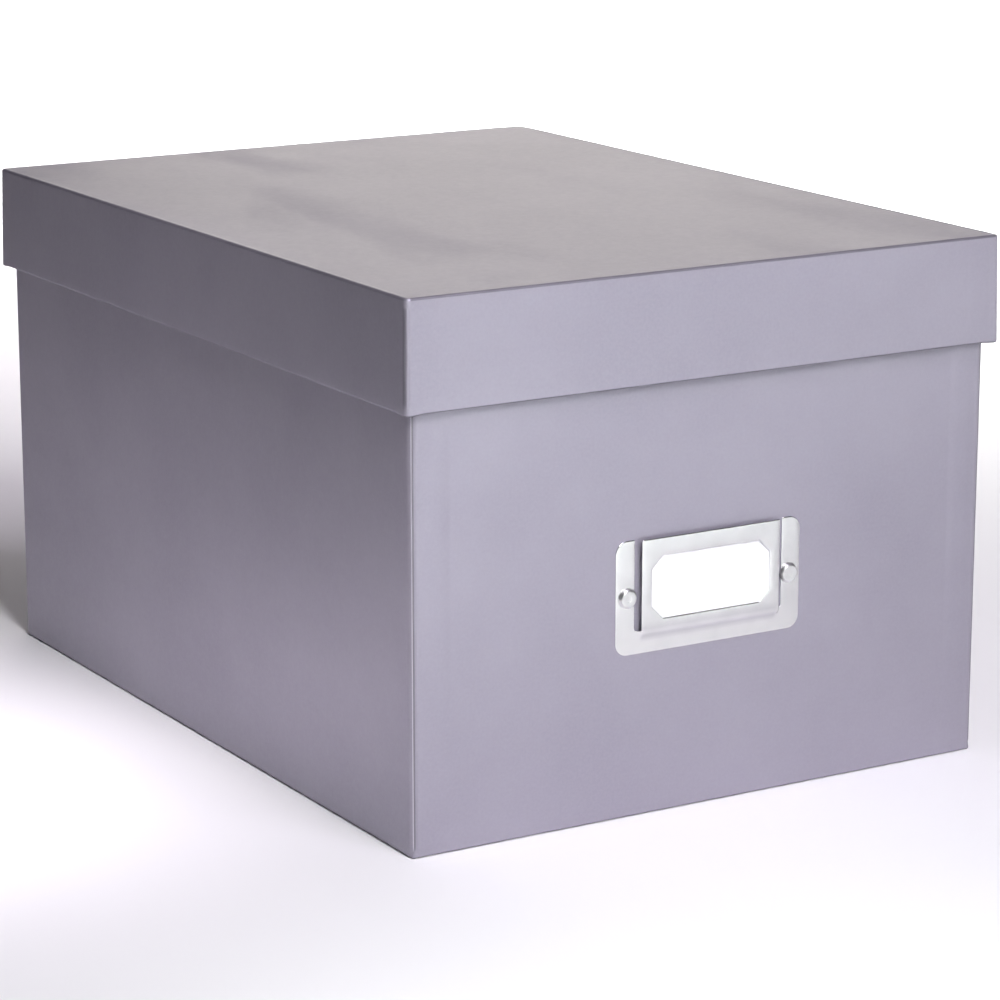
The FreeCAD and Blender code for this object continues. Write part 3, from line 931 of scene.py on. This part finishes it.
def slab(name, node, normal, material, body, corner_r, bowed, step=6.0):
    """A sheet of paper or card in its CAD node's box: rounded corners, soft edges and a slow bow.

    normal is the axis through its thickness, 1 for Y or 2 for Z. bowed(u, v) is added along it.
    """
    low, high = cad_box(node)
    across = [axis for axis in (0, 1, 2) if axis != normal]
    u0, v0 = low[across[0]], low[across[1]]
    u1, v1 = high[across[0]], high[across[1]]
    thick = high[normal] - low[normal]
    soft = thick * 0.25
    half = Vector(((u1 - u0) / 2, (v1 - v0) / 2))
    middle = Vector(((u0 + u1) / 2, (v0 + v1) / 2))

    def sheet_point(u, v, depth):
        spot = Vector((0, 0, 0))
        spot[across[0]] = u
        spot[across[1]] = v
        spot[normal] = low[normal] + depth + bowed(u - middle.x, v - middle.y)
        return spot

    outline = [(-half.x, -half.y), (half.x, -half.y), (half.x, half.y), (-half.x, half.y)]
    loop = divided(rounded_loop([(x, y, corner_r) for x, y in outline]), step)
    insets = [(soft, 0.0), (0.0, soft), (0.0, thick - soft), (soft, thick)]
    inner = inset_loop(loop, soft)
    fill = []
    columns, lines = max(2, round(2 * half.x / step)), max(2, round(2 * half.y / step))
    for i in range(1, columns):
        for j in range(1, lines):
            fill.append(Vector((-half.x + 2 * half.x * i / columns, -half.y + 2 * half.y * j / lines)))
    fill = [p for p in fill if min(half.x - abs(p.x), half.y - abs(p.y)) > max(soft * 2, corner_r * 0.6)]
    edges = [(k, (k + 1) % len(inner)) for k in range(len(inner))]
    found, _, triangles, _, _, _ = geometry.delaunay_2d_cdt(inner + fill, edges, [], 1, 1e-6)
    triangles = [t if turn_of(*(found[i] for i in t)) > 0 else t[::-1] for t in triangles]
    points = [sheet_point(middle.x + p.x, middle.y + p.y, 0.0) for p in found]
    points += [sheet_point(middle.x + p.x, middle.y + p.y, thick) for p in found]
    back = len(found)
    faces = [tuple(reversed(t)) for t in triangles] + [tuple(back + i for i in t) for t in triangles]
    before = list(range(len(inner)))
    for inset, depth in insets[1:-1]:
        here = list(range(len(points), len(points) + len(loop)))
        points += [sheet_point(middle.x + p.x, middle.y + p.y, depth) for p in inset_loop(loop, inset)]
        faces += banded(here, before)
        before = here
    faces += banded(list(range(back, back + len(inner))), before)
    if normal == 1:
        faces = [tuple(reversed(face)) for face in faces]
    return make_piece(name, points, faces, material, body, [node], 50)


def wall_lining():
    """The lining pasted round the tray's inside, with a lapped joint and a slightly uneven top edge."""
    low, high = cad_box("tray_wall_lining")
    thick = LINING_T
    ring = Ring(high.x, high.y, LINING_CORNER_R, 0.0)
    profile = [(thick, low.z, 1), (thick, low.z + 2, 1)]
    profile += [(thick, z, 1) for z in rows(low.z + 2, high.z - 1, 6.0)]
    profile += [(thick, high.z - 1, 1), (thick, high.z, 1), (0.0, high.z, 0), (0.0, low.z, 0)]

    def placed(station, inset, z, inside):
        spot = ring.point(station, inset, 0.0, z)
        edge = smooth(high.z - 1.5, high.z, z) * wave(spot.x, spot.y, 7.0, 40.0, 0.5)
        spot.z += min(0.0, edge)
        if not inside:
            return spot
        relief = wave(spot.x, spot.y, spot.z, 50.0, 0.1) * smooth(0.0, 8.0, station.from_corner)
        if station.side == "back":
            relief += 0.18 * within(LINING_JOINT_X, LINING_JOINT_X + LINING_LAP, spot.x, 1.2)
        return spot - outward(station, max(0.0, relief))

    points, faces = swept(ring, profile, placed)
    faces = [tuple(reversed(face)) for face in faces]
    return make_piece(
        "tray_wall_lining_paper", points, faces, LINING, "tray", ["tray_wall_lining"], 50
    )


def flat_bow(u, v):
    return 0.0


def bow(height, length, seed, side):
    """A slow unevenness, up to height, towards the side 1 or -1 of a sheet's axis."""
    return lambda u, v: height * (noise.noise(Vector((u / length, v / length, seed))) + side) / 2


def sheets():
    card_bow, floor_bow = bow(0.2, 40, 3.1, -1.0), bow(0.25, 60, 5.7, 1.0)
    slab("label_card_blank", "label_card", 1, CARD, "label_card", 1.2, card_bow, 2.0)
    slab("tray_floor_lining_paper", "tray_floor_lining", 2, LINING, "tray", 1.5, floor_bow)
    slab("lid_lining_paper", "lid_lining", 2, LINING, "lid", 2.0, flat_bow)
    slab("tray_underside_paper", "tray_underside_sheet", 2, PAPER, "tray", 2.0, flat_bow)


# ---------------------------------------------------------------- studio


def make_camera():
    data = bpy.data.cameras.new("camera")
    data.lens = LENS
    data.sensor_width = SENSOR
    camera = bpy.data.objects.new("camera", data)
    bpy.context.scene.collection.objects.link(camera)
    a, e = math.radians(AZIMUTH), math.radians(ELEVATION)
    back = Vector((math.sin(a) * math.cos(e), -math.cos(a) * math.cos(e), math.sin(e)))
    camera.location = (Vector(AIM) + back * DISTANCE) * MM
    camera.rotation_mode = "QUATERNION"
    camera.rotation_quaternion = (-back).to_track_quat("-Z", "Y")
    data.clip_start, data.clip_end = CLIP
    bpy.context.scene.camera = camera


def soft_light(name, place, target, size, watts, spread, tint=WHITE):
    """A softbox, in metres. The spread is its fabric grid's, which keeps its light in a narrower beam."""
    data = bpy.data.lights.new(name, "AREA")
    data.shape = "RECTANGLE"
    data.size, data.size_y = size
    data.energy = watts
    data.spread = math.radians(spread)
    data.color = tint
    light = bpy.data.objects.new(name, data)
    bpy.context.scene.collection.objects.link(light)
    light.location = place
    light.rotation_mode = "QUATERNION"
    light.rotation_quaternion = (Vector(target) - Vector(place)).to_track_quat("-Z", "Y")


def overhead(name, x, y, height, side, watts, spread, tint=WHITE):
    """A square softbox that looks straight down and lights a round patch of the floor."""
    soft_light(name, (x, y, height), (x, y, 0.0), (side, side), watts, spread, tint)


def make_floor():
    reach = FLOOR_REACH
    points = [(-reach, -reach, 0), (reach, -reach, 0), (reach, reach, 0), (-reach, reach, 0)]
    mesh = bpy.data.meshes.new("floor")
    mesh.from_pydata([Vector(p) * MM for p in points], [], [(0, 1, 2, 3)])
    mesh.materials.append(floor_paper())
    floor = bpy.data.objects.new("floor", mesh)
    bpy.context.scene.collection.objects.link(floor)


def make_lights():
    # Behind the box: a white floor, and a low panel that the lid's top mirrors
    overhead("back_overhead", 1.2, 1.7, 2.2, 2.0, 32, 60, (1.0, 0.85, 1.0))
    soft_light("right_overhead", (2.0, 1.2, 2.0), (1.6, 1.2, 0.0), (1.5, 1.5), 58, 60, (0.93, 1.0, 0.91))
    soft_light("back_panel", (1.38, 2.15, 0.7), (0.07, 0.0, 0.19), (1.2, 0.7), 1.24, 80, (1.0, 0.96, 0.85))
    # On the front of the box
    soft_light("front_high", (0.0, -1.0, 1.5), (0.0, -0.1, 0.15), (0.7, 0.7), 2.6, 70, (0.90, 0.82, 1.0))
    soft_light("front_low", (-0.25, -1.6, 1.2), (-0.1, -0.1, 0.15), (0.6, 0.6), 2.8, 50)
    # On the floor close by, which the satin paper mirrors
    overhead("front_pool", 0.2, -0.9, 0.9, 0.4, 3.05, 50, (0.92, 1.0, 1.0))
    overhead("near_pool", -0.2, -0.6, 1.2, 0.5, 0.9, 30, (0.93, 1.0, 0.94))
    overhead("left_pool", -0.27, 0.01, 0.6, 0.12, 0.17, 36, (0.98, 0.90, 1.0))
    # On the floor further off, for the box seen from its other sides
    soft_light("far_front_left", (-1.6, -1.6, 2.2), (-1.8, -1.8, 0.0), (1.8, 1.8), 40, 60)
    soft_light("far_front_right", (1.4, -1.7, 2.2), (1.6, -2.0, 0.0), (1.8, 1.8), 36, 60)
    overhead("far_back_left", -2.5, 2.0, 2.4, 1.8, 12, 60)
    overhead("mid_front_left", -1.2, -1.5, 1.8, 1.0, 6, 40)
    overhead("mid_front_right", 1.4, -0.9, 1.6, 0.9, 7, 40)


def make_world():
    """Very little light comes from around. The softboxes give almost all of it."""
    world = bpy.data.worlds.new("studio")
    world.use_nodes = True
    background = world.node_tree.nodes["Background"]
    background.inputs["Color"].default_value = (0.93, 0.94, 1.0, 1)
    background.inputs["Strength"].default_value = 0.003
    bpy.context.scene.world = world
    bpy.context.scene.view_settings.view_transform = "Standard"


# ---------------------------------------------------------------- the whole scene

PAPER = covering_paper()
LINING = lining_paper()
CARD = card_stock()
HOLDER = plated_metal("bright_nickel", (0.87, 0.87, 0.86), 0.12, 0.2, (0.06, 1.0, 1.0))
RIVET = plated_metal("rivet_nickel", (0.85, 0.85, 0.84), 0.28, 0.38, (1.0, 1.0, 1.0), 0.03)
WASHER = plated_metal("plain_steel", (0.70, 0.70, 0.69), 0.3, 0.45, (1.0, 1.0, 1.0))

make_camera()
make_floor()
make_lights()
make_world()
tray_wrap()
lid_wrap()
label_holder()
rivets_and_washers()
wall_lining()
sheets()

# Boards and stay tapes keep their CAD shape
HIDDEN = {"_board": greyboard(), "corner_stay": stay_tape()}
for node_name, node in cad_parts.items():
    for part_of_name, material in HIDDEN.items():
        if part_of_name in node_name:
            node.data.materials.clear()
            node.data.materials.append(material)
